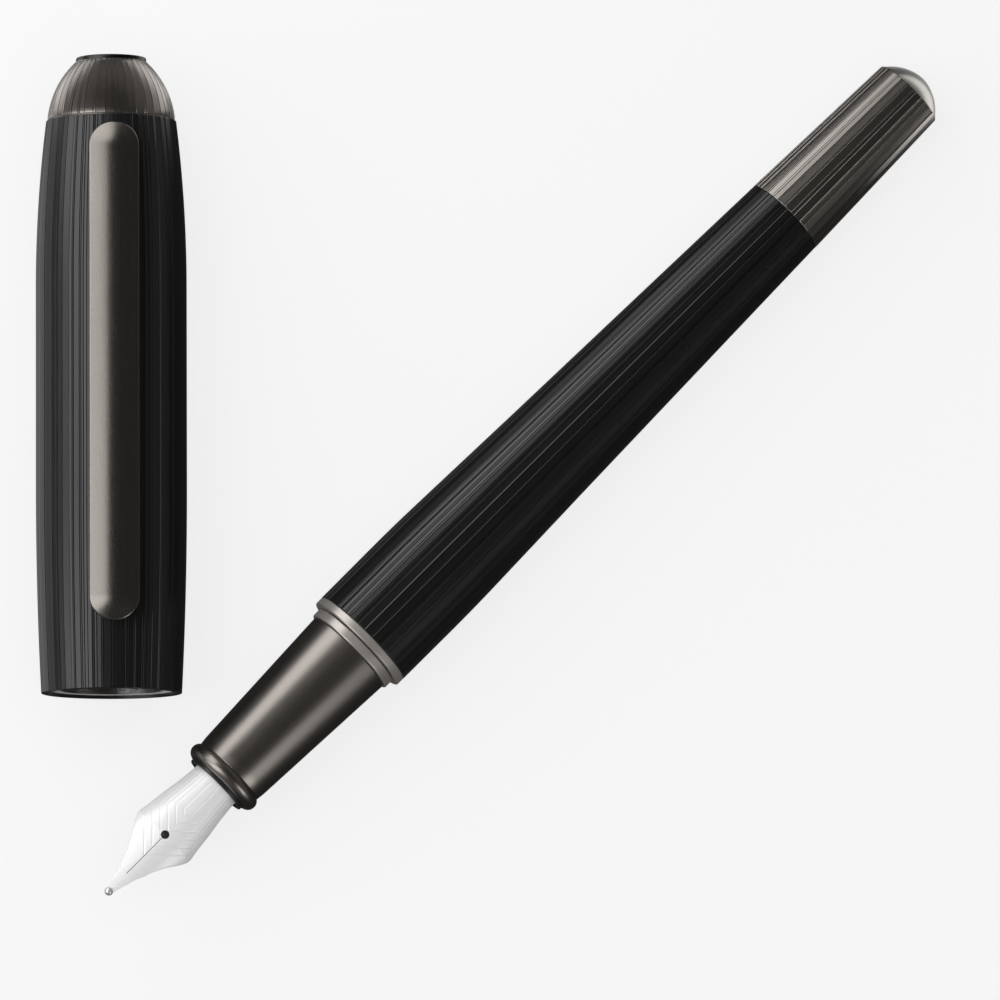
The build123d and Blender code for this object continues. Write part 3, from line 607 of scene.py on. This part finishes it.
DOME_SEED = 31
DOME_RIBS = ((0.5, 1.0), (0.18, 0.30), (0, 1, 1), 0.09, 0.034)
DOME_RADIUS = 6.22
DOME_LIP_RADIUS = 6.02
DISC_SEAT_RADIUS = 3.40
DISC_SEAT = 61.0
SCREW_BORE = 1.0
SCREW_END = 58.0
dome_end = 61.4
dome_curve = arc((cap_end, DOME_RADIUS), (58.848, 5.344), (dome_end, 3.44), 18)
dome_columns = fluted(DOME_SEED, DOME_RADIUS, *DOME_RIBS)
turned("cap_dome_look", cap, [
    (DISC_SEAT, 0, 0, 0),
    (DISC_SEAT, DISC_SEAT_RADIUS, 0.02, 0),
    (dome_end, DISC_SEAT_RADIUS, 0.01, 0),
    *((x, r, 0, 1) for x, r in reversed(dome_curve[1:])),
    (cap_end + 0.16, 6.16, 0.03, 1),
    (cap_end + 0.14, DOME_LIP_RADIUS, 0.02, 0),
    (cap_end, DOME_LIP_RADIUS, 0.02, 0),
    (cap_end, DOME_STEM, BREAK, 0),
    (CAP_INNER_END, DOME_STEM, BREAK, 0),
    (CAP_INNER_END, SCREW_BORE, BREAK, 0),
    (SCREW_END, SCREW_BORE, BREAK, 0),
    (SCREW_END, 0, 0, 0),
], dome_columns, "cap", ["cap_dome"], gun_cap, closed=False)

BUSHING_FACE = 0.30
BUSHING_END = 7.0
BUSHING_BORE = 5.0
CLUTCH_GROOVE_RADIUS = 5.35
CLUTCH_GROOVE_START = 0.4
CLUTCH_GROOVE_END = 1.1
turned("mouth_bushing_look", cap, [
    (BUSHING_FACE, BUSHING_BORE, BREAK, 0),
    (BUSHING_FACE, CAP_BORE, 0.03, 0),
    (BUSHING_END, CAP_BORE, BREAK, 0),
    (BUSHING_END, BUSHING_BORE, BREAK, 0),
    (CLUTCH_GROOVE_END, BUSHING_BORE, 0.03, 0),
    (CLUTCH_GROOVE_END, CLUTCH_GROOVE_RADIUS, 0.03, 0),
    (CLUTCH_GROOVE_START, CLUTCH_GROOVE_RADIUS, 0.03, 0),
    (CLUTCH_GROOVE_START, BUSHING_BORE, 0.03, 0),
], even(FINE), "cap", ["mouth_bushing"], gun_cap)

front, back, _, outer = span("cap_disc", cap)
turned("cap_disc_look", cap, [
    (front, 0, 0, 0),
    (front, outer, 0.04, 0),
    (back, outer, 0.16, 0),
    (back, 0, 0, 0),
], even(FINE), "cap", ["cap_disc"], dark_disc, closed=False)

# ---------------------------------------------------------------- clip
# x runs from the cap's mouth, and heights are above its axis
CLIP_START = 6.4
CLIP_END = 54.6
CLIP_HALF = 2.425
UNDER = 7.92  # height of the underside
TOP = 8.82
CROWN = 0.55  # how far the face falls from its ridge to its edge
BUMP = 0.62
BUMP_AT = 9.0
BUMP_LENGTH = 1.8
BUMP_HALF = 1.9
BUMP_POWER = 0.8
END_STEPS = 24
SIDE_STEPS = 48
FACE_STEPS = 20


def clip_ring(inset):
    """The clip's outline seen from above, drawn in by inset, as (x, side) points."""
    radius = CLIP_HALF - inset
    low, high = CLIP_START + CLIP_HALF, CLIP_END - CLIP_HALF
    out = []
    straight = [low + (high - low) * (i / SIDE_STEPS) ** 2 for i in range(1, SIDE_STEPS)]
    for i in range(END_STEPS + 1):
        angle = math.pi / 2 + math.pi * i / END_STEPS
        out.append((low + radius * math.cos(angle), -radius * math.sin(angle)))
    out += [(x, radius) for x in straight]
    for i in range(END_STEPS + 1):
        angle = -math.pi / 2 + math.pi * i / END_STEPS
        out.append((high + radius * math.cos(angle), -radius * math.sin(angle)))
    out += [(x, -radius) for x in reversed(straight)]
    return out


def clip_under(x, side):
    """The underside's height, with the rounded bump that rests on the cap."""
    along = (x - BUMP_AT) / BUMP_LENGTH
    across = side / BUMP_HALF
    return UNDER - BUMP * max(0, 1 - along * along - across * across) ** BUMP_POWER


EDGE = TOP - CROWN
RIM = 0.13  # how far in the edge's round reaches
FACE_REACH = CLIP_HALF - 0.15
RIDGE = 0.35  # how far from the middle the crown stays rounded
RIDGE_DROP = 0.01
CLIP_CREASE = math.radians(35)
# (inset, height) of each ring, and no height where the ring lies on the underside
levels = [(CLIP_HALF - 0.02, None), (1.6, None), (0.9, None), (0.4, None), (0.10, None), (0.02, UNDER + 0.05)]
levels += [(0.0, UNDER + 0.08), (0.0, EDGE - 0.13), (0.03, EDGE - 0.055), (0.08, EDGE - 0.015), (RIM, EDGE)]
for i in range(1, FACE_STEPS + 1):
    inset = RIM + FACE_REACH * i / FACE_STEPS
    share = math.hypot(1 - (inset - RIM) / FACE_REACH, RIDGE) - RIDGE
    fall = (CROWN - RIDGE_DROP) * share / (math.hypot(1, RIDGE) - RIDGE)
    levels.append((inset, TOP - RIDGE_DROP - fall))
build = bmesh.new()
grid = []
for inset, height in levels:
    ring = []
    for x, side in clip_ring(inset):
        up = clip_under(x, side) if height is None else height
        ring.append(build.verts.new(cap.place(x, side, up)))
    grid.append(ring)
for one, two in zip(grid, grid[1:]):
    for i in range(len(one)):
        j = (i + 1) % len(one)
        build.faces.new((one[i], one[j], two[j], two[i]))
for ring in (grid[0], grid[-1]):
    build.faces.new(ring)
bmesh.ops.recalc_face_normals(build, faces=build.faces)
FOOT_START = 50.9
FOOT_END = 52.1
FOOT_HALF = 1.5
FOOT_BOTTOM = 4.6
FOOT_TOP = 8.1
foot = bmesh.ops.create_cube(build, size=1)["verts"]
for vertex in foot:
    x = FOOT_START if vertex.co.x < 0 else FOOT_END
    up = FOOT_BOTTOM if vertex.co.z < 0 else FOOT_TOP
    vertex.co = cap.place(x, math.copysign(FOOT_HALF, vertex.co.y), up)
for face in build.faces:
    face.smooth = True
clip_mesh = bpy.data.meshes.new("clip_look")
build.to_mesh(clip_mesh)
build.free()
clip_mesh.set_sharp_from_angle(angle=CLIP_CREASE)
finish_piece("clip_look", clip_mesh, "clip", ["clip"], satin)

# ---------------------------------------------------------------- floor, light and camera
FLOOR_SIZE = 3.0  # metres
FLOOR_DROP = 0.0001
build = bmesh.new()
bmesh.ops.create_grid(build, x_segments=1, y_segments=1, size=FLOOR_SIZE / 2)
floor_mesh = bpy.data.meshes.new("floor")
build.to_mesh(floor_mesh)
build.free()
floor = bpy.data.objects.new("floor", floor_mesh)
bpy.context.collection.objects.link(floor)
floor.location.z = -FLOOR_DROP
floor.visible_glossy = False
floor_material = bpy.data.materials.new("floor")
floor_material.use_nodes = True
floor_shader = floor_material.node_tree.nodes["Principled BSDF"]
floor_shader.inputs["Base Color"].default_value = (0.12, 0.12, 0.12, 1)
floor_shader.inputs["Roughness"].default_value = 1
floor_shader.inputs["Specular IOR Level"].default_value = 0
floor_shader.inputs["Emission Color"].default_value = (1, 1, 1, 1)
floor_shader.inputs["Emission Strength"].default_value = 0.805
floor_mesh.materials.append(floor_material)

MIDDLE = Vector((0, 0, 0.007))


def light_box(name, width, height, radiance):
    """An area light of one size, in metres, and one radiance, which the camera doesn't see."""
    light = bpy.data.lights.new(name, "AREA")
    light.shape = "RECTANGLE"
    light.size = width
    light.size_y = height
    light.energy = radiance * math.pi * width * height
    box = bpy.data.objects.new(name, light)
    bpy.context.collection.objects.link(box)
    box.visible_camera = False
    return box


def aim(box, place, target):
    """Stands a light at one point and turns it to face another."""
    box.location = place
    box.rotation_euler = (target - place).to_track_quat("-Z", "Y").to_euler()


def soft_box(name, azimuth, elevation, distance, width, height, radiance, glossy=True):
    """An area light that faces the object. Azimuth runs from +X towards +Y."""
    a = math.radians(azimuth)
    e = math.radians(elevation)
    box = light_box(name, width, height, radiance)
    away = Vector((math.cos(a) * math.cos(e), math.sin(a) * math.cos(e), math.sin(e)))
    aim(box, MIDDLE + distance * away, MIDDLE)
    box.visible_glossy = glossy


soft_box("cap_side_box", 192, 36, 0.75, 0.40, 0.82, 2.3)
pen_box = light_box("pen_side_box", 0.24, 0.18, 2.0)
aim(pen_box, pen.place(10, -190, 95), pen.place(10, 0, 0))
soft_box("overhead_fill", 90, 88, 1.0, 1.2, 1.2, 1.65, glossy=False)
section_box = light_box("section_box", 0.085, 0.15, 2.1)
aim(section_box, pen.place(-55, 220, 110), pen.place(-9, 0, 0))
CARD_HEIGHT = 0.5
CARDS = [
    # low x, high x, low y, high y in millimetres, and radiance: these lie on the floor and shine upwards
    (-76, -46, 40, 76, 1.4),
    (-76, -46, -45, 40, 0.5),
    (-27, 4, 40, 76, 1.4),
    (48, 82, 22, 84, 1.6),
]
for number, (low_x, high_x, low_y, high_y, radiance) in enumerate(CARDS):
    card = light_box(f"floor_card_{number}", (high_x - low_x) * MM, (high_y - low_y) * MM, radiance)
    card.location = MM * Vector(((low_x + high_x) / 2, (low_y + high_y) / 2, CARD_HEIGHT))
    card.rotation_euler = (math.pi, 0, 0)

# the cap's dome stays dark in its middle, so the pen's box doesn't light it
unlit = bpy.data.collections.new("not_lit_by_pen_side_box")
unlit.objects.link(bpy.data.objects["cap_dome_look"])
unlit.collection_objects[0].light_linking.link_state = "EXCLUDE"
pen_box.light_linking.receiver_collection = unlit

world = bpy.data.worlds.new("studio")
bpy.context.scene.world = world
world.use_nodes = True
world_nodes = world.node_tree.nodes
world_links = world.node_tree.links
direction = world_nodes.new("ShaderNodeTexCoord")
split = world_nodes.new("ShaderNodeSeparateXYZ")
ramp = world_nodes.new("ShaderNodeValToRGB")
ramp.color_ramp.elements[0].position = 0.0
ramp.color_ramp.elements[0].color = (0.03, 0.03, 0.03, 1)
ramp.color_ramp.elements[1].position = 1.0
ramp.color_ramp.elements[1].color = (0.05, 0.048, 0.045, 1)
# place from straight down at 0 to straight up at 1, and how bright the surroundings are there
SKY = ((0.49, 0.03), (0.52, 0.20), (0.60, 0.17), (0.74, 0.12), (0.86, 0.04))
WARM_GREEN = 0.97
WARM_BLUE = 0.94
for position, value in SKY:
    element = ramp.color_ramp.elements.new(position)
    element.color = (value, value * WARM_GREEN, value * WARM_BLUE, 1)
height = world_nodes.new("ShaderNodeMapRange")
height.inputs["From Min"].default_value = -1
world_links.new(direction.outputs["Generated"], split.inputs["Vector"])
world_links.new(split.outputs["Z"], height.inputs["Value"])
world_links.new(height.outputs["Result"], ramp.inputs["Fac"])
world_links.new(ramp.outputs["Color"], world_nodes["Background"].inputs["Color"])

camera_data = bpy.data.cameras.new("camera")
camera = bpy.data.objects.new("camera", camera_data)
bpy.context.collection.objects.link(camera)
LENS = 424.64
SENSOR = 36
camera_data.lens = LENS
camera_data.sensor_width = SENSOR
camera_data.clip_start = 0.05
camera_data.clip_end = 10
eye = MM * Vector((-76.14, -112.68, 1141.9))
target = MM * Vector((0.96, -2.29, 7.0))
backward = (eye - target).normalized()
right = Vector((-0.00239, 0.99532, 0.09664)).cross(backward).normalized()
upward = backward.cross(right)
camera.matrix_world = Matrix((
    (right.x, upward.x, backward.x, eye.x),
    (right.y, upward.y, backward.y, eye.y),
    (right.z, upward.z, backward.z, eye.z),
    (0, 0, 0, 1),
))
scene = bpy.context.scene
scene.camera = camera
scene.view_settings.view_transform = "Standard"
